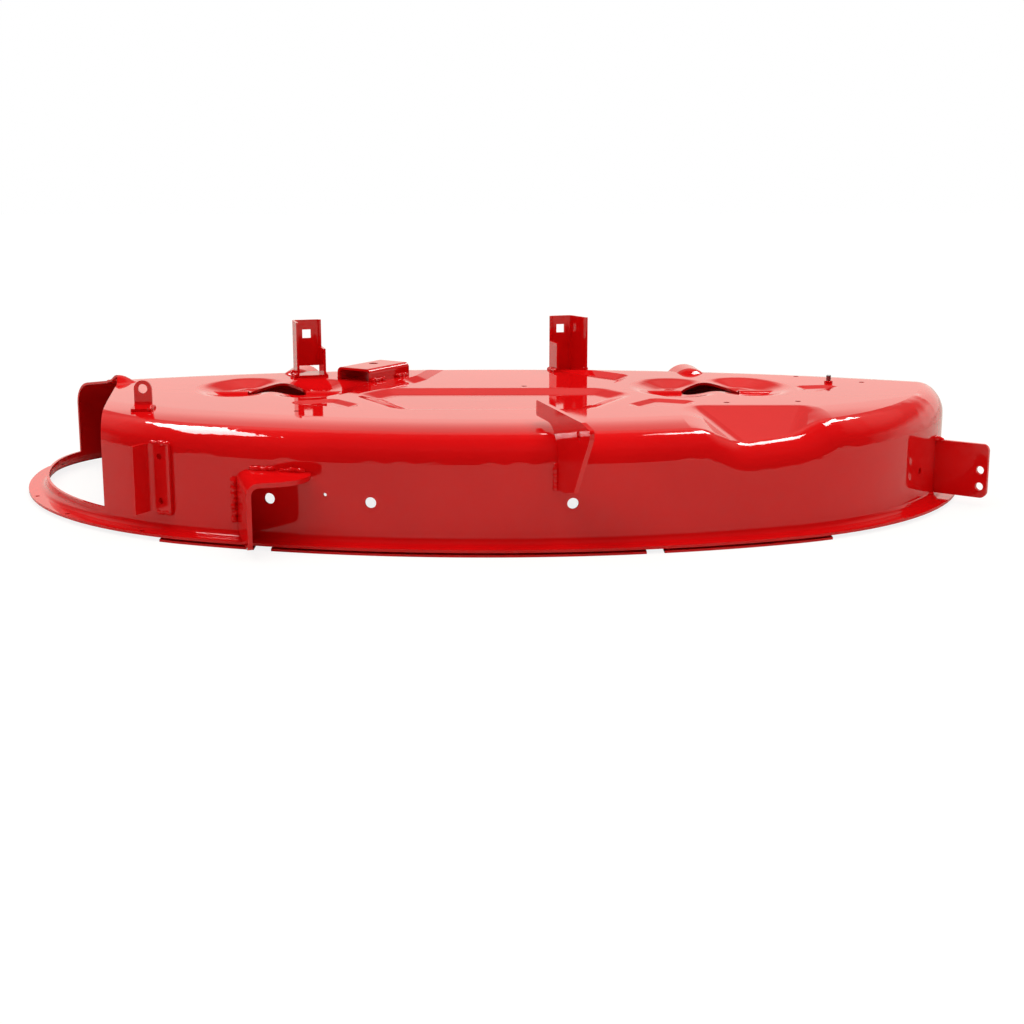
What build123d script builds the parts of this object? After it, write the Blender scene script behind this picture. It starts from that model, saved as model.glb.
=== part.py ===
"""Welded shell of a two-spindle, side-discharge lawn mower deck.

Z = 0 is the underside of the rim flange and the origin is midway between the
two spindles. +X runs along the line of the spindles, away from the discharge
opening, and -Y points to the front skirt. All lengths are millimetres.
"""
import os
from math import atan2, cos, degrees, radians, sin, tan

from build123d import *

# Drawn shell
sheet = 3.0
deck_height = 122.0
half_width = 560.0
front_reach = 328.0
rear_reach = 287.0
widest_setback = 75.0
front_radius = 912.0
rear_radius = 1681.0
shoulder_radius = 30.0
flange_width = 22.0
rim_bend_radius = 8.0

# The top falls away to the rear behind a curved crest, and bends down to the front wall
crest_setback = 160.0
crest_radius = 1250.0
rear_fall_angle = 9.0
crest_rounding = 90.0
brow_width = 90.0
brow_bend_radius = 800.0
brow_angles = (0.8, 10.0)

# Spindle wells: round dishes crossed by a rib and a low ridge, with a hole for the housing
spindle_spacing = 530.0
spindle_hole_diameter = 72.0
well_radius = 95.0
well_depth = 8.0
well_draft = 75.0
well_edge_radius = 40.0
well_rib_width = 12.0
well_rib_skew = 5.0
well_corner_radius = 38.0
well_ridge_width = 17.0
well_ridge_height = 3.5

# Recesses pressed into the top
recess_depth = 5.0
recess_draft = 78.0
recess_edge_radius = 30.0
centre_recess_rear = -8.0
centre_recess_waist = -60.0
centre_recess_front = -166.0
centre_recess_half_width = 165.0
centre_recess_corner_radius = 34.0
side_recess_depth = 2.5
side_recess_edge_radius = 10.0
side_recess_corner_radius = 15.0
rear_recess_front = 28.0
rear_recess_draft = 70.0
rear_recess_waist = 58.0
rear_recess_neck = 40.0
rear_recess_left_insets = (30.0, 65.0, 86.0)
rear_recess_right_insets = (15.0, -13.0, 81.0)

# Corners of the smaller recesses beside a well, from its spindle
front_corner_recess = ((-136.0, -167.0), (-7.0, -119.0), (-79.0, -88.0))
end_wedge_recess = ((101.0, -58.0), (190.0, 23.0), (105.0, 8.0))

# Raised bead behind each well
bead_width = 34.0
bead_height = 6.0
bead_start = 124.0
bead_end = 163.0

# Clearance pocket pressed into the front shoulder
pocket_turn = 18.7
pocket_slope = 10.0
pocket_front_width = 50.0
pocket_spread = 17.0
pocket_length = 200.0
pocket_drop = 24.0
pocket_draft = 65.0
pocket_floor_radius = 40.0
pocket_rim_radius = 60.0

# Discharge opening, cut out of the wall above a low hoop, with its top edge turned up
hoop_height = 17.0
opening_front_x = 438.0
opening_front_y = 193.0
opening_top_x = 470.0
opening_top_y = 50.0
opening_rear_x = 545.0
opening_rear_y = 142.0
lip_rise = 9.0
lip_width = 28.0
lip_sink = 0.4
lip_fall_angle = 26.0

# Holes through the skirt and the top
skirt_hole_diameter = 12.0
skirt_hole_height = 47.0
skirt_hole_turns = (-15.2, -8.2, 5.2)
top_hole_diameter = 7.0
top_hole_places = (
    (-221, -179),
    (37, 8),
    (1, -149),
    (269, -122),
    (353, -115),
    (354, 117),
    (371, 108),
    (386, 90),
    (459, 37),
)

rim_hole_diameter = 6.0
rim_hole_angles = (-157.0, -140.0, -120.0)
wall_hole_diameter = 8.0
wall_hole_angle = -34.9
wall_hole_height = 43.0
skirt_dimple_diameter = 4.0
skirt_dimple_turn = -11.3
skirt_dimple_height = 54.0

# Folded ear for the chute hinge, on the top beside the opening
ear_x = -398.0
ear_y = -150.0
ear_width = 20.0
ear_height = 31.0
ear_thickness = 4.0
ear_bend_radius = 6.0
ear_foot_length = 24.0
ear_foot_sink = 0.8
ear_foot_angle = 3.0
ear_hole_diameter = 10.5
ear_hole_height = 21.5

# Folded bracket for the chute's side, on the front left of the skirt
chute_bracket_angle = -118.3
chute_bracket_thickness = 4.0
chute_bracket_bottom = 24.0
chute_bracket_top = 99.0
chute_bracket_reach = 31.0
chute_bracket_bend_radius = 9.0
chute_bracket_left = 8.0
chute_bracket_right = 20.0
chute_bracket_hole_diameter = 6.5
chute_bracket_hole_offset = 7.0
chute_bracket_hole_heights = (36.0, 85.0)

# Folded bracket for a gauge wheel, on the front of the skirt
gauge_turn = -17.6
gauge_thickness = 5.0
gauge_reach = 86.0
gauge_width = 73.0
gauge_top = 77.5
gauge_bottom = 6.5
gauge_bend_radius = 10.5
gauge_corner_radius = 42.0
gauge_foot_radius = 8.0

# Hooked hanger plate on the front of the skirt
front_plate_turn = 4.28
front_plate_thickness = 5.0
front_plate_top = 146.0
front_plate_nose = 105.0
front_plate_nose_bottom = 133.0
front_plate_nose_top = 142.0
front_plate_nose_radius = 4.0
front_plate_brow = 78.0
front_plate_shin = ((28.0, 64.0), (56.0, 70.0), (72.0, 91.0))
front_plate_tail = 76.0
front_plate_tail_radius = 3.0
front_plate_arm_bottom = 129.0
front_plate_weld_top = 91.0
front_plate_bottom = 62.0
front_plate_clearance = 1.0
front_plate_hook_radius = 34.0
front_plate_hole_diameter = 12.0
front_plate_hole_reach = 70.0
front_plate_hole_height = 131.0

# Flat bracket on the right of the skirt
side_bracket_angle = -25.0
side_bracket_heading = -35.6
side_bracket_thickness = 5.0
side_bracket_reach = 65.0
side_bracket_bottom = 7.0
side_bracket_top = 71.0
side_bracket_corner_radius = 8.0
side_bracket_hole_diameter = 9.5
side_bracket_hole_inset = 9.0
side_bracket_hole_heights = (20.4, 40.0)

# Folded hangers standing on the rear of the top
hanger_sheet = 3.0
hanger_bend_radius = 4.0
hanger_hole_width = 11.0
hanger_foot_window = 11.0
left_hanger_x = -241.0
left_hanger_y = 120.0
left_hanger_width = 37.0
left_hanger_flange = 35.0
left_hanger_top = 192.0
left_hanger_step = 158.0
left_hanger_hole_height = 174.0
right_hanger_x = 88.5
right_hanger_y = 205.0
right_hanger_width = 32.0
right_hanger_flange = 36.0
right_hanger_top = 188.0
right_hanger_step = 155.0
right_hanger_hole_height = 171.0
right_hanger_splay = 19.0

# Box bracket on the top, an upturned channel open at both ends
box_x = -153.5
box_y = 91.0
box_turn = -33.0
box_width = 52.0
box_length = 82.0
box_height = 16.0
box_sheet = 3.0
box_bend_radius = 5.0
box_hole_diameter = 12.0
box_hole_across = -6.0
box_hole_along = 8.0

# Folded strips under the front of the rim
strip_spans = {"left": (-362.0, -255.0), "middle": (-236.0, 160.0), "right": (179.0, 368.0)}
strip_width = 16.0
strip_sheet = 2.4
strip_drop = 4.8

# Stud with a collar, on the right of the top
stud_end_inset = 143.5
stud_y = 32.0
stud_diameter = 6.0
stud_height = 10.0
collar_diameter = 10.5
collar_height = 3.0

# Axes of the tractor, turned from the line of the spindles
vehicle_yaw = 15.4
forward = Vector(sin(radians(vehicle_yaw)), -cos(radians(vehicle_yaw)), 0)
sideways = Vector(cos(radians(vehicle_yaw)), sin(radians(vehicle_yaw)), 0)
upward = Vector(0, 0, 1)

os.makedirs("parts", exist_ok=True)


def corner_radius(long_radius, reach):
    """Radius of the end arc that joins a long arc to the widest point of the plan."""
    return (long_radius**2 - half_width**2 - (long_radius - reach) ** 2) / (2 * (long_radius - half_width))


def arc_point(centre, radius, angle):
    """Point of a plan arc, with the angle in degrees from +X."""
    return (centre[0] + radius * cos(radians(angle)), centre[1] + radius * sin(radians(angle)))


front_corner_radius = corner_radius(front_radius, front_reach + widest_setback)
rear_corner_radius = corner_radius(rear_radius, rear_reach - widest_setback)
front_centre = (0, front_radius - front_reach)
rear_centre = (0, rear_reach - rear_radius)
front_end_centre = (half_width - front_corner_radius, widest_setback)
rear_end_centre = (half_width - rear_corner_radius, widest_setback)
left_end_centre = (-front_end_centre[0], widest_setback)


def deck_outline(grow):
    """Plan of the wall's outer face, moved outwards by grow, as tangent arcs."""
    front_turn = degrees(atan2(front_end_centre[1] - front_centre[1], front_end_centre[0]))
    rear_turn = degrees(atan2(rear_end_centre[1] - rear_centre[1], rear_end_centre[0]))
    front_side = arc_point(front_end_centre, front_corner_radius + grow, front_turn)
    rear_side = arc_point(rear_end_centre, rear_corner_radius + grow, rear_turn)
    widest = (half_width + grow, widest_setback)
    with BuildSketch() as outline:
        with BuildLine():
            ThreePointArc(
                (0, -front_reach - grow),
                arc_point(front_centre, front_radius + grow, (front_turn - 90) / 2),
                front_side,
            )
            ThreePointArc(
                front_side,
                arc_point(front_end_centre, front_corner_radius + grow, front_turn / 2),
                widest,
            )
            ThreePointArc(
                widest,
                arc_point(rear_end_centre, rear_corner_radius + grow, rear_turn / 2),
                rear_side,
            )
            ThreePointArc(
                rear_side,
                arc_point(rear_centre, rear_radius + grow, (rear_turn + 90) / 2),
                (0, rear_reach + grow),
            )
            mirror(about=Plane.YZ)
        make_face()
    return outline.sketch


def wall_plane(centre, radius, angle, height):
    """Plane on the wall's outer face: X along the wall, Y up, Z outwards."""
    out = Vector(cos(radians(angle)), sin(radians(angle)), 0)
    x, y = arc_point(centre, radius, angle)
    return Plane(origin=(x, y, height), x_dir=upward.cross(out), z_dir=out)


def front_wall_plane(turn, height):
    """Plane on the front arc of the wall, turned from the middle towards +X."""
    return wall_plane(front_centre, front_radius, turn - 90, height)


# Cutter for the fall of the top behind the crest
fall_reach = 2 * rear_reach
with BuildPart() as rear_fall:
    with BuildSketch(Plane.XZ):
        with BuildLine():
            Polyline(
                (crest_radius, 0),
                (crest_radius + fall_reach, -fall_reach * tan(radians(rear_fall_angle))),
                (crest_radius + fall_reach, sheet),
                (crest_radius, sheet),
                close=True,
            )
        make_face()
    revolve(axis=Axis.Z)

# Cutter for the bend of the top over the brow, around the axis of the front wall
brow_radius = front_radius - brow_width
brow_start, brow_end = brow_angles
bend_centre = (
    brow_radius - brow_bend_radius * sin(radians(brow_start)),
    -brow_bend_radius * cos(radians(brow_start)),
)
with BuildPart() as front_bend:
    with BuildSketch(Plane.XZ):
        with BuildLine():
            bend = CenterArc(bend_centre, brow_bend_radius, 90 - brow_start, brow_start - brow_end)
            Polyline(bend @ 1, ((bend @ 1).X, sheet), (brow_radius, sheet), bend @ 0)
        make_face()
    revolve(axis=Axis.Z)

# Bell under the turned-up corner of the top at the opening, with a cone that runs into the fall
bell_skirt = 2 * lip_width
bell_foot = -lip_sink - bell_skirt * tan(radians(lip_fall_angle))
with BuildPart() as lip_bell:
    with BuildSketch(Plane.XZ):
        with BuildLine():
            crown = TangentArc(
                (0, lip_rise - lip_sink),
                (lip_width / 2, lip_rise / 2 - lip_sink),
                tangent=(1, 0),
            )
            TangentArc(crown @ 1, (lip_width, -lip_sink), tangent=crown % 1)
            Polyline(
                (lip_width, -lip_sink),
                (lip_width + bell_skirt, bell_foot),
                (0, bell_foot),
                (0, lip_rise - lip_sink),
            )
        make_face()
    revolve(axis=Axis.Z)


def well_outlines():
    """Plan outlines of the two halves of each spindle well, with rounded corners."""
    outlines = []
    for side in (-1, 1):
        with BuildSketch() as well:
            with Locations((side * spindle_spacing / 2, 0)):
                Circle(well_radius)
                Rectangle(well_rib_width, 3 * well_radius, rotation=side * well_rib_skew, mode=Mode.SUBTRACT)
            fillet(well.vertices(), well_corner_radius)
        outlines += well.sketch.faces()
    return outlines


def centre_recess_outline():
    """Plan outline of the recess between the wells, with rounded corners."""
    half = centre_recess_half_width
    front_half = half - (centre_recess_waist - centre_recess_front) / 2
    with BuildSketch() as centre:
        Polygon(
            (-half + centre_recess_corner_radius, centre_recess_rear),
            (-half, centre_recess_waist),
            (-front_half, centre_recess_front),
            (front_half, centre_recess_front),
            (half, centre_recess_waist),
            (half - centre_recess_corner_radius, centre_recess_rear),
            align=None,
        )
        fillet(centre.vertices(), centre_recess_corner_radius)
    return centre.face()


def side_recess_outlines():
    """Plan outlines of the small recesses beside the wells, with rounded corners."""
    outlines = []
    for side in (-1, 1):
        with BuildSketch() as front_corner:
            with Locations((side * spindle_spacing / 2, 0)):
                Polygon(*[(side * x, y) for x, y in front_corner_recess], align=None)
            fillet(front_corner.vertices(), side_recess_corner_radius)
        outlines.append(front_corner.face())
    with BuildSketch() as end_wedge:
        with Locations((spindle_spacing / 2, 0)):
            Polygon(*end_wedge_recess, align=None)
        fillet(end_wedge.vertices(), side_recess_corner_radius)
    outlines.append(end_wedge.face())
    return outlines


def rear_recess_outline():
    """Plan of the recess behind the cross bead, which runs out over the rear fall."""
    left = [inset - centre_recess_half_width for inset in rear_recess_left_insets]
    right = [centre_recess_half_width - inset for inset in rear_recess_right_insets]
    waist = crest_setback - rear_recess_waist
    neck = crest_setback + rear_recess_neck
    with BuildSketch() as outline:
        Polygon(
            (left[0], rear_recess_front),
            (right[0], rear_recess_front),
            (right[1], waist),
            (right[2], neck),
            (right[2], rear_reach),
            (left[2], rear_reach),
            (left[2], neck),
            (left[1], waist),
            align=None,
        )
        fillet(outline.vertices(), centre_recess_corner_radius)
    return outline.sketch


def pocket_cutter(inset):
    """What the shoulder pocket takes away: a sloping floor between spreading sides."""
    wall = front_wall_plane(pocket_turn, 0).origin
    tilt = Vector(0, -sin(radians(pocket_slope)), cos(radians(pocket_slope)))
    mouth = Plane(origin=(wall.X, wall.Y, deck_height - pocket_drop), x_dir=(1, 0, 0), z_dir=tilt)
    floor = mouth.offset(-inset)
    grow = inset * (1 - sin(radians(pocket_draft))) / cos(radians(pocket_draft))
    depth = 2 * shoulder_radius
    with BuildPart() as cutter:
        for lift in (0, depth):
            half_front = pocket_front_width / 2 + grow + lift * tan(radians(pocket_draft))
            lean = tan(radians(pocket_spread))
            with BuildSketch(floor.offset(lift)):
                Polygon(
                    (-half_front + lean * shoulder_radius, -shoulder_radius),
                    (half_front - lean * shoulder_radius, -shoulder_radius),
                    (half_front + lean * pocket_length, pocket_length),
                    (-half_front - lean * pocket_length, pocket_length),
                    align=None,
                )
        loft(ruled=True)
        floor_edges = cutter.faces().sort_by(Axis.Z)[0].edges()
        fillet(floor_edges.filter_by(Axis.X, reverse=True), pocket_floor_radius + inset)
    return cutter.part


def pressed_form(inset):
    """Solid within the drawn sheet's outer face, moved inwards by inset."""
    top = deck_height - inset
    with BuildPart() as form:
        with BuildSketch(Plane.XY.offset(-inset)):
            add(deck_outline(-inset))
        extrude(amount=deck_height)
        with Locations((0, crest_setback - crest_radius, top)):
            add(rear_fall.part, mode=Mode.SUBTRACT)
        with Locations((*front_centre, top)):
            add(front_bend.part, mode=Mode.SUBTRACT)
        arcs = form.edges().filter_by(GeomType.CIRCLE)
        fillet(arcs.filter_by(lambda e: abs(e.radius - crest_radius) < 0.5), crest_rounding)
        add(pocket_cutter(inset), mode=Mode.SUBTRACT)
        pocket_back = form.edges().filter_by(Axis.X).filter_by(lambda e: abs(e.center().Z - top) < 0.01)
        fillet(pocket_back, pocket_rim_radius - inset)
        walls = form.faces().filter_by(lambda f: abs(f.normal_at().Z) < 0.01)
        wall_edges = walls.edges().filter_by(Axis.Z, reverse=True)
        fillet(wall_edges.filter_by(lambda e: e.center().Z > deck_height / 2), shoulder_radius - inset)

        well_form = (well_depth, well_draft, well_edge_radius)
        side_form = (side_recess_depth, recess_draft, side_recess_edge_radius)
        presses = [(outline, *well_form) for outline in well_outlines()]
        presses += [(outline, *side_form) for outline in side_recess_outlines()]
        presses.append((centre_recess_outline(), recess_depth, recess_draft, recess_edge_radius))
        for outline, depth, draft, edge_radius in presses:
            with BuildSketch(Plane.XY.offset(top)):
                add(outline)
                if inset:
                    offset(amount=inset * (1 - sin(radians(draft))) / cos(radians(draft)))
            extrude(amount=-depth, taper=draft, mode=Mode.SUBTRACT)
            cut_edges = form.edges(Select.LAST)
            fillet(cut_edges.filter_by(lambda e: abs(e.center().Z - top) < 0.01), edge_radius - inset)
            level = form.faces().filter_by(Axis.Z)
            floors = level.filter_by(lambda f: abs(f.center().Z - top + depth) < 0.01)
            floor = floors.sort_by_distance(outline.center())[0]
            fillet(floor.edges(), edge_radius + inset)

        with BuildSketch(Plane.XY.offset(top)):
            add(rear_recess_outline())
            if inset:
                offset(amount=inset * (1 - sin(radians(rear_recess_draft))) / cos(radians(rear_recess_draft)))
        extrude(amount=-recess_depth, taper=rear_recess_draft, mode=Mode.SUBTRACT)

        ridge_radius = (well_ridge_width**2 / 4 + well_ridge_height**2) / (2 * well_ridge_height)
        ridge_level = deck_height - well_depth + well_ridge_height - ridge_radius
        bead_radius = (bead_width**2 / 4 + bead_height**2) / (2 * bead_height)
        bead_level = deck_height + bead_height - bead_radius
        for side in (-1, 1):
            spindle_x = side * spindle_spacing / 2
            with BuildLine() as ridge:
                Line((spindle_x - well_radius, 0, ridge_level), (spindle_x + well_radius, 0, ridge_level))
            with BuildSketch(ridge.line ^ 0):
                Circle(ridge_radius - inset)
            sweep(path=ridge.line)
            lean = -side * tan(radians(well_rib_skew))
            bead_ends = [(spindle_x + lean * reach, reach, bead_level) for reach in (bead_start, bead_end)]
            with BuildLine() as bead:
                Line(*bead_ends)
            with BuildSketch(bead.line ^ 0):
                Circle(bead_radius - inset)
            sweep(path=bead.line)
            with Locations(*bead_ends):
                Sphere(bead_radius - inset)

        with Locations((-opening_top_x, opening_top_y, top)):
            add(lip_bell.part)
    return form.part


outer_form = pressed_form(0)
inner_form = pressed_form(sheet)

# Outer face of the shell with its rim, against which the brackets are seated
wall_radii = (front_radius, front_corner_radius, rear_corner_radius, rear_radius)
with BuildPart() as envelope:
    add(outer_form)
    with BuildSketch():
        add(deck_outline(flange_width))
    extrude(amount=sheet)
    arcs = envelope.edges().filter_by(GeomType.CIRCLE)
    rim_arcs = arcs.filter_by(lambda e: abs(e.center().Z - sheet) < 0.01)
    fillet(rim_arcs.filter_by(lambda e: min(abs(e.radius - r) for r in wall_radii) < 0.5), rim_bend_radius)

# Drawn shell: one sheet with its opening and holes
with BuildPart() as deck_shell:
    add(envelope.part)
    add(inner_form, mode=Mode.SUBTRACT)
    arcs = deck_shell.edges().filter_by(GeomType.CIRCLE)
    under_arcs = arcs.filter_by(lambda e: abs(e.center().Z) < 0.01)
    inner_arcs = under_arcs.filter_by(lambda e: min(abs(e.radius + sheet - r) for r in wall_radii) < 0.5)
    fillet(inner_arcs, rim_bend_radius + sheet)
    front_run = (opening_front_x - opening_top_x) / (opening_front_y + opening_top_y)
    rear_run = (opening_rear_x - opening_top_x) / (opening_rear_y - opening_top_y)
    with BuildSketch(Plane.XY.offset(hoop_height)):
        Polygon(
            (-opening_front_x - front_run * flange_width, -opening_front_y - flange_width),
            (-opening_top_x, opening_top_y),
            (-opening_rear_x - rear_run * flange_width, opening_rear_y + flange_width),
            (-2 * half_width, opening_rear_y + flange_width),
            (-2 * half_width, -opening_front_y - flange_width),
            align=None,
        )
    extrude(amount=deck_height, mode=Mode.SUBTRACT)
    with Locations(Plane.XY.offset(deck_height)):
        with Locations((-spindle_spacing / 2, 0), (spindle_spacing / 2, 0)):
            Hole(spindle_hole_diameter / 2, depth=deck_height / 2)
        with Locations(*top_hole_places):
            Hole(top_hole_diameter / 2, depth=deck_height / 2)
    for turn in skirt_hole_turns:
        with Locations(front_wall_plane(turn, skirt_hole_height)):
            Hole(skirt_hole_diameter / 2, depth=2 * sheet)
    with Locations(front_wall_plane(skirt_dimple_turn, skirt_dimple_height)):
        Hole(skirt_dimple_diameter / 2, depth=2 * sheet)
    with Locations(wall_plane(front_end_centre, front_corner_radius, wall_hole_angle, wall_hole_height)):
        Hole(wall_hole_diameter / 2, depth=2 * sheet)
    rim_hole_radius = front_corner_radius + flange_width - rim_hole_diameter
    with Locations(Plane.XY.offset(sheet)):
        with Locations(*[arc_point(left_end_centre, rim_hole_radius, angle) for angle in rim_hole_angles]):
            Hole(rim_hole_diameter / 2, depth=2 * sheet)
deck_shell.part.label = "deck_shell"
export_step(deck_shell.part, "parts/deck_shell.step")

# Ear for the chute hinge: a folded strip with a round head
with BuildPart() as chute_hinge_ear:
    foot_middle = deck_height + ear_thickness / 2 - ear_foot_sink
    foot_fall = ear_foot_length * tan(radians(ear_foot_angle))
    with BuildSketch(Plane.YZ.offset(ear_x)):
        with BuildLine():
            FilletPolyline(
                (ear_y - ear_foot_length, foot_middle - foot_fall),
                (ear_y, foot_middle),
                (ear_y, deck_height + ear_height),
                radius=ear_bend_radius,
            )
        trace(line_width=ear_thickness)
    extrude(amount=ear_width / 2, both=True)
    head_edges = chute_hinge_ear.edges().filter_by(Axis.Y).group_by(Axis.Z)[-1]
    fillet(head_edges, ear_width / 2 - 0.1)
    with Locations(Plane.XZ.offset(-ear_y)):
        with Locations((ear_x, deck_height + ear_hole_height)):
            Cylinder(ear_hole_diameter / 2, 4 * ear_thickness, mode=Mode.SUBTRACT)
    add(envelope.part, mode=Mode.SUBTRACT)
chute_hinge_ear.part.label = "chute_hinge_ear"
export_step(chute_hinge_ear.part, "parts/chute_hinge_ear.step")

# Bracket for the chute's side: a plate on the wall with one leg folded outwards
chute_wall = wall_plane(left_end_centre, front_corner_radius, chute_bracket_angle, 0)
with BuildPart() as chute_side_bracket:
    plate_middle = chute_bracket_thickness / 2
    chute_level = Plane(chute_wall.origin, x_dir=chute_wall.z_dir, z_dir=upward)
    with BuildSketch(chute_level.offset(chute_bracket_bottom)):
        with BuildLine():
            FilletPolyline(
                (plate_middle, chute_bracket_right),
                (plate_middle, -chute_bracket_left),
                (chute_bracket_reach, -chute_bracket_left),
                radius=chute_bracket_bend_radius,
            )
        trace(line_width=chute_bracket_thickness)
    extrude(amount=chute_bracket_top - chute_bracket_bottom)
    with Locations(chute_wall):
        with Locations(*[(chute_bracket_hole_offset, height) for height in chute_bracket_hole_heights]):
            Cylinder(chute_bracket_hole_diameter / 2, 4 * chute_bracket_thickness, mode=Mode.SUBTRACT)
chute_side_bracket.part.label = "chute_side_bracket"
export_step(chute_side_bracket.part, "parts/chute_side_bracket.step")

# Bracket for a gauge wheel: a level shelf with one leg folded down
gauge_wall = front_wall_plane(gauge_turn, 0)
gauge_start = gauge_width / 2
with BuildPart() as gauge_wheel_bracket:
    half_sheet = gauge_thickness / 2
    with BuildSketch(Plane(gauge_wall.origin, x_dir=sideways, z_dir=forward).offset(-gauge_start)):
        with BuildLine():
            FilletPolyline(
                (gauge_width, gauge_top - half_sheet),
                (half_sheet, gauge_top - half_sheet),
                (half_sheet, gauge_bottom),
                radius=gauge_bend_radius,
            )
        trace(line_width=gauge_thickness)
    extrude(amount=gauge_start + gauge_reach)
    ahead = Axis((0, 0, 0), forward)
    aside = Axis((0, 0, 0), sideways)
    shelf_corner = gauge_wheel_bracket.edges().filter_by(Axis.Z).group_by(ahead)[-1].sort_by(aside)[-1]
    fillet(shelf_corner, gauge_corner_radius)
    leg_corner = gauge_wheel_bracket.edges().filter_by(aside).group_by(ahead)[-1].sort_by(Axis.Z)[0]
    fillet(leg_corner, gauge_foot_radius)
    add(envelope.part, mode=Mode.SUBTRACT)
gauge_wheel_bracket.part.label = "gauge_wheel_bracket"
export_step(gauge_wheel_bracket.part, "parts/gauge_wheel_bracket.step")

# Hanger plate on the front wall, with an arm that hooks back over the top
plate_wall = front_wall_plane(front_plate_turn, 0)
with BuildPart() as front_hanger_plate:
    with BuildSketch(Plane(plate_wall.origin, x_dir=forward, z_dir=-sideways)) as plate_face:
        Polygon(
            (-sheet, front_plate_bottom),
            *front_plate_shin,
            (front_plate_nose, front_plate_nose_bottom),
            (front_plate_nose, front_plate_nose_top),
            (front_plate_brow, front_plate_top),
            (-front_plate_tail, front_plate_top),
            (-front_plate_tail, front_plate_arm_bottom),
            (front_plate_clearance, front_plate_arm_bottom),
            (front_plate_clearance, front_plate_weld_top),
            (-sheet, front_plate_weld_top),
            align=None,
        )
        corners = plate_face.vertices()
        fillet(corners.group_by(Axis.X)[-1], front_plate_nose_radius)
        armpit = Vertex(front_plate_clearance, front_plate_arm_bottom)
        fillet(plate_face.vertices().sort_by_distance(armpit)[0], front_plate_hook_radius)
        fillet(plate_face.vertices().group_by(Axis.X)[0], front_plate_tail_radius)
        with Locations((front_plate_hole_reach, front_plate_hole_height)):
            Circle(front_plate_hole_diameter / 2, mode=Mode.SUBTRACT)
    extrude(amount=front_plate_thickness / 2, both=True)
    add(envelope.part, mode=Mode.SUBTRACT)
front_hanger_plate.part.label = "front_hanger_plate"
export_step(front_hanger_plate.part, "parts/front_hanger_plate.step")

# Flat bracket on the right wall
side_wall = wall_plane(front_end_centre, front_corner_radius, side_bracket_angle, 0)
side_heading = Vector(cos(radians(side_bracket_heading)), sin(radians(side_bracket_heading)), 0)
with BuildPart() as side_bracket:
    side_upright = Plane(side_wall.origin, x_dir=side_heading, z_dir=side_heading.cross(upward))
    with BuildSketch(side_upright) as side_face:
        with Locations((0, side_bracket_bottom)):
            Rectangle(
                2 * side_bracket_reach,
                side_bracket_top - side_bracket_bottom,
                align=(Align.CENTER, Align.MIN),
            )
        fillet(side_face.vertices().group_by(Axis.X)[-1], side_bracket_corner_radius)
        hole_reach = side_bracket_reach - side_bracket_hole_inset
        with Locations(*[(hole_reach, height) for height in side_bracket_hole_heights]):
            Circle(side_bracket_hole_diameter / 2, mode=Mode.SUBTRACT)
    extrude(amount=side_bracket_thickness / 2, both=True)
    add(envelope.part, mode=Mode.SUBTRACT)
side_bracket.part.label = "side_bracket"
export_step(side_bracket.part, "parts/side_bracket.step")


def hanger(x, y, width, flange, top, left_top, right_top, hole_height, splay):
    """Folded channel, open to the front, with a square hole in its web and stepped flanges."""
    reach = width / 2 - hanger_sheet / 2
    root = deck_height - shoulder_radius
    level = Plane(origin=(x, y, root), x_dir=sideways, z_dir=upward)
    web = Plane(origin=(x, y, 0), x_dir=sideways, z_dir=forward)
    with BuildPart() as channel:
        with BuildSketch(level):
            with BuildLine():
                FilletPolyline(
                    (-reach, -flange),
                    (-reach, 0),
                    (reach, 0),
                    (reach + flange * sin(radians(splay)), -flange * cos(radians(splay))),
                    radius=hanger_bend_radius,
                )
            trace(line_width=hanger_sheet)
        extrude(amount=top - root)
        for side, flange_top in ((-1, left_top), (1, right_top)):
            with BuildSketch(level.offset(flange_top - root)):
                with Locations((side * (reach - hanger_bend_radius), -hanger_bend_radius)):
                    Rectangle(
                        flange,
                        2 * flange,
                        align=(Align.MIN if side > 0 else Align.MAX, Align.MAX),
                    )
            extrude(amount=top, mode=Mode.SUBTRACT)
        with BuildSketch(web):
            with Locations((0, hole_height)):
                Rectangle(hanger_hole_width, hanger_hole_width)
        extrude(amount=2 * hanger_sheet, both=True, mode=Mode.SUBTRACT)
    return channel.part


# Left hanger: its web stops short of a foot plate that joins the two flanges
left_channel = hanger(
    left_hanger_x,
    left_hanger_y,
    left_hanger_width,
    left_hanger_flange,
    left_hanger_top,
    left_hanger_top,
    left_hanger_step,
    left_hanger_hole_height,
    0,
)
left_hanger_level = Plane(origin=(left_hanger_x, left_hanger_y, deck_height), x_dir=sideways, z_dir=upward)
left_hanger_gap = left_hanger_width - 2 * hanger_sheet
with BuildPart() as rear_hanger_left:
    add(left_channel)
    with BuildSketch(left_hanger_level):
        Rectangle(left_hanger_gap, 2 * hanger_sheet)
    extrude(amount=hanger_foot_window, mode=Mode.SUBTRACT)
    with BuildSketch(left_hanger_level):
        with Locations((0, hanger_sheet / 2)):
            Rectangle(
                left_hanger_gap,
                left_hanger_flange + hanger_sheet / 2,
                align=(Align.CENTER, Align.MAX),
            )
    extrude(amount=hanger_sheet)
    add(envelope.part, mode=Mode.SUBTRACT)
rear_hanger_left.part.label = "rear_hanger_left"
export_step(rear_hanger_left.part, "parts/rear_hanger_left.step")

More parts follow.
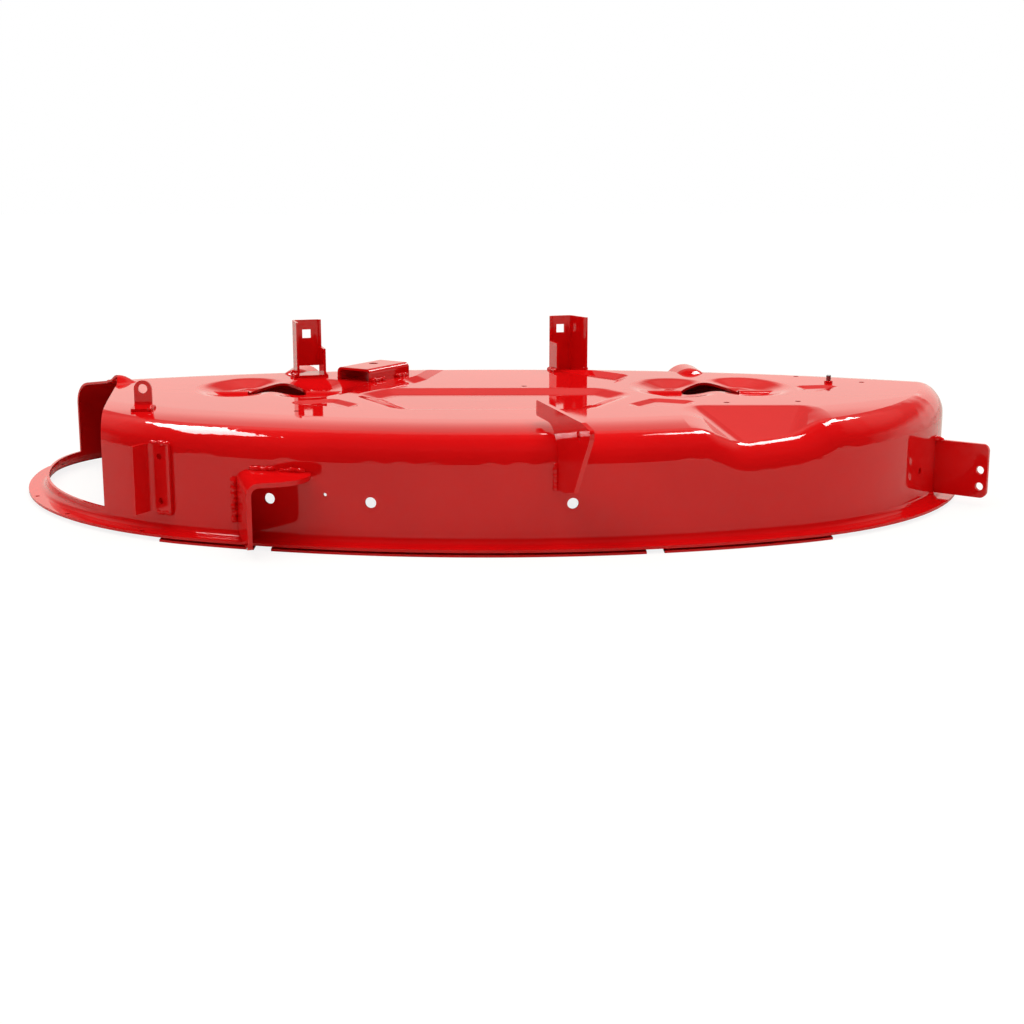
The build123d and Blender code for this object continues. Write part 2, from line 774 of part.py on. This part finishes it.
# Right hanger: the same channel on the fall behind the crest, with one flange splayed
right_channel = hanger(
    right_hanger_x,
    right_hanger_y,
    right_hanger_width,
    right_hanger_flange,
    right_hanger_top,
    right_hanger_step,
    right_hanger_top,
    right_hanger_hole_height,
    right_hanger_splay,
)
with BuildPart() as rear_hanger_right:
    add(right_channel)
    add(envelope.part, mode=Mode.SUBTRACT)
rear_hanger_right.part.label = "rear_hanger_right"
export_step(rear_hanger_right.part, "parts/rear_hanger_right.step")

# Box bracket: an upturned channel with a hole in its top
box_across = Vector(cos(radians(box_turn)), sin(radians(box_turn)), 0)
box_along = upward.cross(box_across)
box_section = Plane(origin=(box_x, box_y, deck_height), x_dir=box_across, z_dir=-box_along)
with BuildPart() as box_bracket:
    box_reach = box_width / 2 - box_sheet / 2
    with BuildSketch(box_section):
        with BuildLine():
            FilletPolyline(
                (-box_reach, -recess_depth),
                (-box_reach, box_height - box_sheet / 2),
                (box_reach, box_height - box_sheet / 2),
                (box_reach, -recess_depth),
                radius=box_bend_radius,
            )
        trace(line_width=box_sheet)
    extrude(amount=box_length / 2, both=True)
    with Locations(Plane(origin=(box_x, box_y, deck_height + box_height), x_dir=box_across, z_dir=upward)):
        with Locations((box_hole_across, box_hole_along)):
            Hole(box_hole_diameter / 2, depth=2 * box_sheet)
    add(envelope.part, mode=Mode.SUBTRACT)
box_bracket.part.label = "box_bracket"
export_step(box_bracket.part, "parts/box_bracket.step")

# Strips under the rim: each a level leg flush with the rim's edge and a short leg up to the rim
for strip_name, (strip_start, strip_end) in strip_spans.items():
    with BuildPart() as rim_strip:
        for leg_width, leg_height in ((strip_width, strip_sheet), (strip_sheet, strip_drop)):
            leg_inner = flange_width - strip_width
            with BuildSketch(Plane.XY.offset(-strip_drop)):
                add(deck_outline(leg_inner + leg_width))
                add(deck_outline(leg_inner), mode=Mode.SUBTRACT)
                with Locations((strip_start, 0)):
                    Rectangle(
                        strip_end - strip_start,
                        2 * front_reach,
                        align=(Align.MIN, Align.MAX),
                        mode=Mode.INTERSECT,
                    )
            extrude(amount=leg_height)
    rim_strip.part.label = f"rim_strip_{strip_name}"
    export_step(rim_strip.part, f"parts/rim_strip_{strip_name}.step")

# Stud with a rounded tip, standing on the top through its collar
stud_x = half_width - stud_end_inset
with BuildPart() as cable_stud:
    with Locations((stud_x, stud_y, deck_height)):
        Cylinder(stud_diameter / 2, stud_height, align=(Align.CENTER, Align.CENTER, Align.MIN))
    fillet(cable_stud.edges().group_by(Axis.Z)[-1], stud_diameter / 4)
cable_stud.part.label = "cable_stud"
export_step(cable_stud.part, "parts/cable_stud.step")

with BuildPart() as stud_collar:
    with Locations((stud_x, stud_y, deck_height)):
        Cylinder(collar_diameter / 2, collar_height, align=(Align.CENTER, Align.CENTER, Align.MIN))
        Cylinder(
            stud_diameter / 2,
            collar_height,
            align=(Align.CENTER, Align.CENTER, Align.MIN),
            mode=Mode.SUBTRACT,
        )
    fillet(stud_collar.edges().group_by(Axis.Z)[-1].sort_by(SortBy.RADIUS)[-1], collar_height / 3)
stud_collar.part.label = "stud_collar"
export_step(stud_collar.part, "parts/stud_collar.step")
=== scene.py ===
import math
import random

import bmesh
import bpy
from mathutils import Matrix, Vector
from mathutils.bvhtree import BVHTree


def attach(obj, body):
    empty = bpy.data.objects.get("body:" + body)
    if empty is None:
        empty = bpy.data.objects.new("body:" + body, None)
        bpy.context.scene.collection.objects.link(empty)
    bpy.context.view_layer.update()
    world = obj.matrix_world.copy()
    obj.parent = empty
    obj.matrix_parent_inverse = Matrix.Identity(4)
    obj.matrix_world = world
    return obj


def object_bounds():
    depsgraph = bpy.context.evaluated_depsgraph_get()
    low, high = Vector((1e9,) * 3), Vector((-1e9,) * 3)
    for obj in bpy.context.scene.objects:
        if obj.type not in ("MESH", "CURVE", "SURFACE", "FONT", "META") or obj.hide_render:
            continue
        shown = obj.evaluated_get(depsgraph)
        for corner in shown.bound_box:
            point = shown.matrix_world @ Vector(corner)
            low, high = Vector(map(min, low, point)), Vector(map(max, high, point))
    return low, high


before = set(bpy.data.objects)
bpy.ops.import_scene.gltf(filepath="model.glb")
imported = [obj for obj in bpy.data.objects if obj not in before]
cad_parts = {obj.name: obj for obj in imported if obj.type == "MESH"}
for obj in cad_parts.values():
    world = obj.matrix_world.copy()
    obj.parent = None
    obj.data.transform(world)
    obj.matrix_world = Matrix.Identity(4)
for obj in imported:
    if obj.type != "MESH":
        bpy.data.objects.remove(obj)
cad_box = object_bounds()
MM = 0.001


# Deck shell and brackets: one drawn pan of 3 mm sheet steel and the folded brackets welded to
# it, all powder coated red together. The coat is thick, so it hides the metal and mirrors the
# studio, with a faint orange peel and the slow waviness of pressed sheet under it.
def linear(hex_colour):
    """An sRGB hex colour as the linear RGBA that a shader takes."""
    channels = [int(hex_colour[i:i + 2], 16) / 255 for i in (1, 3, 5)]
    return [c / 12.92 if c <= 0.04045 else ((c + 0.055) / 1.055) ** 2.4 for c in channels] + [1.0]


def add_node(tree, kind, inputs, **settings):
    """A shader node with its settings; an input is a plain value or the socket it is linked to."""
    made = tree.nodes.new(kind)
    for name, value in settings.items():
        setattr(made, name, value)
    for name, value in inputs.items():
        if isinstance(value, bpy.types.NodeSocket):
            tree.links.new(value, made.inputs[name])
        else:
            made.inputs[name].default_value = value
    return made


DEEP_RED = "#DC0C0F"
BRIGHT_RED = "#E60F11"
TINT_PITCH = 160 * MM
TINT_STOPS = (0.3, 0.7)
WAVE_PITCH = 90 * MM
WAVE_HEIGHT = 0.06 * MM
PEEL_PITCH = 5 * MM
PEEL_HEIGHT = 0.0012 * MM
PAINT_ROUGHNESS = 0.05
PAINT_IOR = 1.45
powder_coat = bpy.data.materials.new("red_powder_coat_on_steel")
powder_coat.use_nodes = True
tree = powder_coat.node_tree
tree.nodes.clear()
place = add_node(tree, "ShaderNodeTexCoord", {}).outputs["Object"]
tint = add_node(tree, "ShaderNodeTexNoise", {
    "Vector": place, "Scale": 1 / TINT_PITCH, "Detail": 3.0})
red = add_node(tree, "ShaderNodeValToRGB", {"Fac": tint.outputs["Fac"]})
for stop, position, colour in zip(red.color_ramp.elements, TINT_STOPS, (DEEP_RED, BRIGHT_RED)):
    stop.position = position
    stop.color = linear(colour)
waves = add_node(tree, "ShaderNodeTexNoise", {
    "Vector": place, "Scale": 1 / WAVE_PITCH, "Detail": 1.0})
wavy = add_node(tree, "ShaderNodeBump", {"Height": waves.outputs["Fac"], "Distance": WAVE_HEIGHT})
peel = add_node(tree, "ShaderNodeTexNoise", {
    "Vector": place, "Scale": 1 / PEEL_PITCH, "Detail": 0.0})
peeled = add_node(tree, "ShaderNodeBump", {
    "Height": peel.outputs["Fac"], "Distance": PEEL_HEIGHT, "Normal": wavy.outputs["Normal"]})
coat = add_node(tree, "ShaderNodeBsdfPrincipled", {
    "Base Color": red.outputs["Color"], "Roughness": PAINT_ROUGHNESS, "IOR": PAINT_IOR,
    "Normal": peeled.outputs["Normal"]})
add_node(tree, "ShaderNodeOutputMaterial", {"Surface": coat.outputs["BSDF"]})
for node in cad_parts.values():
    node.data.materials.clear()
    node.data.materials.append(powder_coat)


# Welds: short lumpy runs of MAG weld that hold each bracket to the shell, painted over with it.
# The puddle froze in ripples about 2 mm apart, so a run is a row of drops melted into one. The
# drops stand a little proud of the sheet, so that none comes through to its inner side.
RIPPLE_PITCH = 2.2 * MM
WELD_RADIUS = 3.2 * MM
WELD_RISE = 1.4 * MM
DROP_SPREAD = 0.7
DROP_SIZES = (0.75, 1.15)
MELT_VOXEL = 0.6 * MM
SETTLE_FACTOR = 0.5
SETTLE_PASSES = 2
ABOVE_DECK = 0.3
BEFORE_DECK = -0.6
deck = BVHTree.FromObject(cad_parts["deck_shell"], bpy.context.evaluated_depsgraph_get())
drops = random.Random(7)


def on_top(x, y):
    """Middle of a drop on the deck's upper side, at a place in the plan in mm."""
    hit = deck.ray_cast(Vector((x * MM, y * MM, ABOVE_DECK)), Vector((0, 0, -1)))[0]
    return hit + Vector((0, 0, WELD_RISE))


def on_skirt(x, z):
    """Middle of a drop on the front skirt, at a distance along it and a height in mm."""
    hit = deck.ray_cast(Vector((x * MM, BEFORE_DECK, z * MM)), Vector((0, 1, 0)))[0]
    return hit - Vector((0, WELD_RISE, 0))


def weld(name, runs):
    """One painted weld piece, with a run of melted drops along each list of points."""
    shape = bmesh.new()
    for run in runs:
        for start, end in zip(run, run[1:]):
            ripples = max(1, round((end - start).length / RIPPLE_PITCH))
            for ripple in range(ripples):
                spread = Vector([
                    drops.uniform(-DROP_SPREAD, DROP_SPREAD) * MM for axis in range(3)])
                bmesh.ops.create_icosphere(
                    shape, subdivisions=2, radius=WELD_RADIUS * drops.uniform(*DROP_SIZES),
                    matrix=Matrix.Translation(start.lerp(end, ripple / ripples) + spread))
    mesh = bpy.data.meshes.new(name)
    shape.to_mesh(mesh)
    shape.free()
    mesh.materials.append(powder_coat)
    piece = bpy.data.objects.new(name, mesh)
    bpy.context.scene.collection.objects.link(piece)
    melt = piece.modifiers.new("melt", "REMESH")
    melt.mode = "VOXEL"
    melt.voxel_size = MELT_VOXEL
    melt.use_smooth_shade = True
    settle = piece.modifiers.new("settle", "SMOOTH")
    settle.factor = SETTLE_FACTOR
    settle.iterations = SETTLE_PASSES
    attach(piece, "root")


CHUTE_WALL = (-366.5, -249.1)
CHUTE_OUT = (-0.4741, -0.8805)
CHUTE_RISE = 1.5


def beside_chute_bracket(along, height):
    """Point in the corner between the chute bracket and the wall, in mm along the wall and up."""
    x = CHUTE_WALL[0] + CHUTE_RISE * CHUTE_OUT[0] - along * CHUTE_OUT[1]
    y = CHUTE_WALL[1] + CHUTE_RISE * CHUTE_OUT[1] + along * CHUTE_OUT[0]
    return Vector((x, y, height)) * MM


weld("weld_chute_bracket", [
    [beside_chute_bracket(along, 99.5) for along in (-4, 8, 19)],
    [beside_chute_bracket(along, 23.5) for along in (2, 10, 19)]])

SHELF_HEIGHT = 79
LEG_SIDE = -278.5
weld("weld_gauge_bracket", [
    [on_skirt(x, SHELF_HEIGHT) for x in (-258, -246, -234)],
    [on_skirt(x, SHELF_HEIGHT) for x in (-224, -213, -200)],
    [on_skirt(LEG_SIDE, z) for z in (66, 50, 34, 20)]])

FRONT_PLATE_SIDES = (64.4, 71.8)
weld("weld_front_plate", [
    [on_skirt(x, z) for z in (64, 73, 82, 90)] for x in FRONT_PLATE_SIDES])

SIDE_ROOT = Vector((525.5, -80.5, 0)) * MM
SIDE_HEADING = Vector((0.8131, -0.5821, 0))
SIDE_FACE = Vector((-0.5821, -0.8131, 0))
SIDE_REACH = 0.06


def beside_side_bracket(off, height):
    """Middle of a drop on the wall beside the flat bracket, off its middle plane and up, in mm."""
    start = SIDE_ROOT + SIDE_REACH * SIDE_HEADING + off * MM * SIDE_FACE
    start += Vector((0, 0, height * MM))
    return deck.ray_cast(start, -SIDE_HEADING)[0] + WELD_RISE * SIDE_HEADING


weld("weld_side_bracket", [
    [beside_side_bracket(off, 72.5) for off in (4, -4)],
    [beside_side_bracket(1.5, 72) + reach * MM * SIDE_HEADING for reach in (2, 9)],
    [beside_side_bracket(-3.6, z) for z in (70, 55, 40, 25, 10)]])

EAR_SIDE = -387
weld("weld_ear", [[on_top(EAR_SIDE, y) for y in (-173, -166, -159, -151)]])


def beside_bracket(x, y, turn, places):
    """Drops on the top beside a bracket that stands at x, y, given in mm across and along it."""
    across = (math.cos(math.radians(turn)), math.sin(math.radians(turn)))
    return [on_top(x + s * across[0] - t * across[1], y + s * across[1] + t * across[0])
            for s, t in places]


BOX_STAND = (-153.5, 91, -33)
LEFT_HANGER_STAND = (-241, 120, 15.4)
RIGHT_HANGER_STAND = (88.5, 205, 15.4)
weld("weld_box_bracket", [
    beside_bracket(*BOX_STAND, [(side * 27, t) for t in run])
    for side in (-1, 1) for run in ((-37, -25, -13), (13, 25, 37))])
weld("weld_left_hanger", [
    beside_bracket(*LEFT_HANGER_STAND, [(side * 19.5, t) for t in (-32, -22, -12, -3)])
    for side in (-1, 1)])
weld("weld_right_hanger", [
    beside_bracket(*RIGHT_HANGER_STAND, [(-17, t) for t in (-33, -22, -12, -3)]),
    beside_bracket(*RIGHT_HANGER_STAND, [(26, -33), (23, -22), (20, -12), (17.5, -3)])])


# Cable stud: a short turned steel pin, zinc plated after turning. The plating is dull grey,
# with the fine rings of the tool around it.
RING_PITCH = 0.6 * MM
RING_HEIGHT = 0.02 * MM
ZINC_ROUGHNESS = 0.38
zinc = bpy.data.materials.new("zinc_plated_turned_steel")
zinc.use_nodes = True
tree = zinc.node_tree
tree.nodes.clear()
place = add_node(tree, "ShaderNodeTexCoord", {}).outputs["Object"]
rings = add_node(tree, "ShaderNodeTexWave", {
    "Vector": place, "Scale": 0.5 / RING_PITCH / math.pi, "Distortion": 1.0}, bands_direction="Z")
grey = add_node(tree, "ShaderNodeValToRGB", {"Fac": rings.outputs["Fac"]})
grey.color_ramp.elements[0].color = linear("#8E9094")
grey.color_ramp.elements[1].color = linear("#B4B6B8")
ringed = add_node(tree, "ShaderNodeBump", {
    "Height": rings.outputs["Fac"], "Distance": RING_HEIGHT})
plate = add_node(tree, "ShaderNodeBsdfPrincipled", {
    "Base Color": grey.outputs["Color"], "Metallic": 1.0, "Roughness": ZINC_ROUGHNESS,
    "Normal": ringed.outputs["Normal"]})
add_node(tree, "ShaderNodeOutputMaterial", {"Surface": plate.outputs["BSDF"]})
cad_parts["cable_stud"].data.materials[0] = zinc


# Studio: pale paper under the rim strips and a low white backdrop behind, with one broad soft
# light above and two strip lights overhead, which only draw the streaks of gloss on the paint.
FLOOR_SIZE = 14.0
PAPER_WHITE = 0.75
PAPER_GLOW = 1.14
floor_mesh = bpy.data.meshes.new("floor")
shape = bmesh.new()
bmesh.ops.create_grid(shape, x_segments=1, y_segments=1, size=FLOOR_SIZE / 2,
                      matrix=Matrix.Translation((0, 0, cad_box[0][2])))
shape.to_mesh(floor_mesh)
shape.free()
floor = bpy.data.objects.new("floor", floor_mesh)
bpy.context.scene.collection.objects.link(floor)
paper = bpy.data.materials.new("pale_studio_paper")
paper.use_nodes = True
tree = paper.node_tree
tree.nodes.clear()
seen = add_node(tree, "ShaderNodeLightPath", {}).outputs["Is Camera Ray"]
whiter = add_node(tree, "ShaderNodeMath", {0: seen, 1: PAPER_WHITE}, operation="MULTIPLY")
sheet = add_node(tree, "ShaderNodeBsdfDiffuse", {"Color": linear("#E2DED4"), "Roughness": 1.0})
glow = add_node(tree, "ShaderNodeEmission", {"Color": linear("#FFFFFF"), "Strength": PAPER_GLOW})
lit_paper = add_node(tree, "ShaderNodeMixShader", {
    "Fac": whiter.outputs["Value"], 1: sheet.outputs["BSDF"], 2: glow.outputs["Emission"]})
add_node(tree, "ShaderNodeOutputMaterial", {"Surface": lit_paper.outputs["Shader"]})
floor_mesh.materials.append(paper)

# The backdrop is white low down behind the deck and fades with the sine of its height above
# the horizon, with a paler ceiling panel further up. The rest of the room is nearly dark.
BACKDROP_RISE = (
    (0, 1.0), (0.23, 1.0), (0.29, 0.55), (0.36, 0.18),
    (0.44, 0.2), (0.55, 0.42), (0.64, 0.42), (0.8, 0.1))
BACKDROP_EDGE = (-0.1, 0.4)
ROOM_LEVEL = 0.04
world = bpy.data.worlds.new("studio")
bpy.context.scene.world = world
world.use_nodes = True
tree = world.node_tree
tree.nodes.clear()
way = add_node(tree, "ShaderNodeTexCoord", {}).outputs["Generated"]
split = add_node(tree, "ShaderNodeSeparateXYZ", {"Vector": way})
behind = add_node(tree, "ShaderNodeMapRange", {
    "Value": split.outputs["Y"], "From Min": BACKDROP_EDGE[0], "From Max": BACKDROP_EDGE[1],
    "To Min": 0.0, "To Max": 1.0})
rise = add_node(tree, "ShaderNodeValToRGB", {"Fac": split.outputs["Z"]})
stops = rise.color_ramp.elements
stops.remove(stops[1])
for height, strength in BACKDROP_RISE:
    stop = stops[0] if height == 0 else stops.new(height)
    stop.color = (strength, strength, strength, 1.0)
backdrop = add_node(tree, "ShaderNodeMath", {
    0: behind.outputs["Result"], 1: rise.outputs["Color"]}, operation="MULTIPLY")
room = add_node(tree, "ShaderNodeMath", {
    0: backdrop.outputs["Value"], 1: ROOM_LEVEL}, operation="MAXIMUM")
lit_room = add_node(tree, "ShaderNodeBackground", {
    "Color": linear("#FFF5EA"), "Strength": room.outputs["Value"]})
white = add_node(tree, "ShaderNodeBackground", {"Color": linear("#FFFFFF"), "Strength": 1.0})
seen = add_node(tree, "ShaderNodeLightPath", {}).outputs["Is Camera Ray"]
studio = add_node(tree, "ShaderNodeMixShader", {
    "Fac": seen, 1: lit_room.outputs["Background"], 2: white.outputs["Background"]})
add_node(tree, "ShaderNodeOutputWorld", {"Surface": studio.outputs["Shader"]})

CEILING_SPREAD = 90
CEILING_TILT = 2
CEILING_ENERGY = 3.3
ceiling = bpy.data.lights.new("ceiling", "SUN")
ceiling.angle = math.radians(CEILING_SPREAD)
ceiling.energy = CEILING_ENERGY
ceiling_lamp = bpy.data.objects.new("ceiling", ceiling)
ceiling_lamp.rotation_euler = (math.radians(CEILING_TILT), 0, 0)
ceiling_lamp.visible_glossy = False
bpy.context.scene.collection.objects.link(ceiling_lamp)


def strip_light(name, place, target, width, height, power):
    """An area light aimed at a point, which shows only in the gloss of the paint."""
    lamp = bpy.data.lights.new(name, "AREA")
    lamp.shape = "RECTANGLE"
    lamp.size = width
    lamp.size_y = height
    lamp.energy = power
    made = bpy.data.objects.new(name, lamp)
    made.location = place
    made.rotation_euler = (Vector(target) - Vector(place)).to_track_quat("-Z", "Y").to_euler()
    made.visible_diffuse = False
    made.visible_camera = False
    bpy.context.scene.collection.objects.link(made)


strip_light("streak_left", (-1.2, 0.75, 1.9), (-1.2, 0.75, 0), 0.5, 1.7, 42)
strip_light("streak_right", (1.07, 1.3, 2.1), (0.35, -0.25, 0.1), 0.42, 1.4, 27)


# Camera: a long lens in front of the deck, a little above it and looking slightly down, with
# the deck's middle just left of the picture's.
FOCAL_PIXELS = 1700
IMAGE_PIXELS = 1024
SENSOR_WIDTH = 36.0
CAMERA_PLACE = (0, -2.06546, 0.42931)
LOOK_DOWN = 0.221
LOOK_RIGHT = math.atan(18.16 / FOCAL_PIXELS)
camera_data = bpy.data.cameras.new("camera")
camera_data.sensor_width = SENSOR_WIDTH
camera_data.sensor_fit = "HORIZONTAL"
camera_data.lens = SENSOR_WIDTH * FOCAL_PIXELS / IMAGE_PIXELS
camera = bpy.data.objects.new("camera", camera_data)
camera.location = CAMERA_PLACE
camera.rotation_euler = (math.pi / 2 - LOOK_DOWN, 0, -LOOK_RIGHT)
bpy.context.scene.collection.objects.link(camera)
bpy.context.scene.camera = camera
bpy.context.scene.view_settings.view_transform = "Standard"
